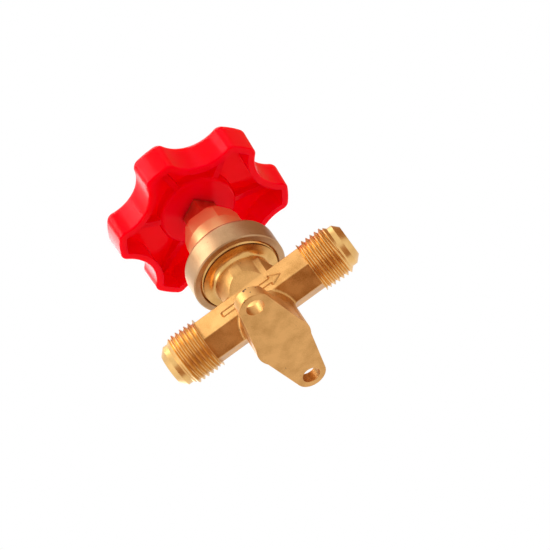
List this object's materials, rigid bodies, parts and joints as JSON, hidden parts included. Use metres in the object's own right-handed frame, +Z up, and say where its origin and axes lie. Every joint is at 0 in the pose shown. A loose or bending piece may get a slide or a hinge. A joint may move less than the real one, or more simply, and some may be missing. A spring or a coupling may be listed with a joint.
{
  "type": "refrigerant service valve",
  "caption": "Straight-way diaphragm valve with two male flare ends, a two-ear mounting base, a screwed bonnet and a lobed handwheel on a rising spindle.",
  "frame": {"origin": "centre of the underside of the mounting base, on the spindle's axis", "axes": "+Z up the spindle to the handwheel, +X along the ports in the direction of flow, -Y the face with the flow arrow"},
  "size_m": [0.0636, 0.0562, 0.071],
  "materials": {
    "forged_brass": "forged, blasted and part machined",
    "turned_brass": "turned and blasted",
    "spindle_brass": "turned",
    "inner_brass": "turned",
    "stainless_sheet": "rolled",
    "spring_steel": "drawn wire",
    "ball_steel": "ground",
    "zinc_steel": "zinc plated",
    "seat_polymer": "turned",
    "seal_rubber": "moulded",
    "gasket_metal": "stamped soft aluminium",
    "red_plastic": "moulded, glossy"
  },
  "bodies": {
    "body": {"valve_body": "forged_brass", "bonnet": "turned_brass", "diaphragm_gasket": "gasket_metal", "clamp_ring": "inner_brass", "diaphragm_lower": "stainless_sheet", "diaphragm_middle": "stainless_sheet", "diaphragm_upper": "stainless_sheet", "return_spring": "spring_steel"},
    "lift": {"thrust_pad": "inner_brass", "thrust_ball": "ball_steel", "disc_holder": "inner_brass", "seat_disc": "seat_polymer", "seat_disc_washer": "inner_brass", "seat_disc_screw": "inner_brass"},
    "wheel": {"spindle": "spindle_brass", "spindle_o_ring": "seal_rubber", "handwheel": "red_plastic", "wheel_washer": "zinc_steel", "wheel_lock_washer": "zinc_steel", "wheel_screw": "zinc_steel"}
  },
  "joints": [
    {"name": "stem_rise", "type": "slide", "parent": "body", "child": "lift", "axis": [0, 0, 1], "range_m": [-0.00225, 0], "deforming": ["return_spring", "diaphragm_lower", "diaphragm_middle", "diaphragm_upper"]},
    {"name": "wheel_turn", "type": "hinge", "parent": "lift", "child": "wheel", "pos_m": [0, 0, 0.062], "axis": [0, 0, 1], "range_deg": [-540, 0]}
  ],
  "couplings": [
    {"joint": "stem_rise", "follows": "wheel_turn", "m_per_rad": 0.00023873}
  ]
}
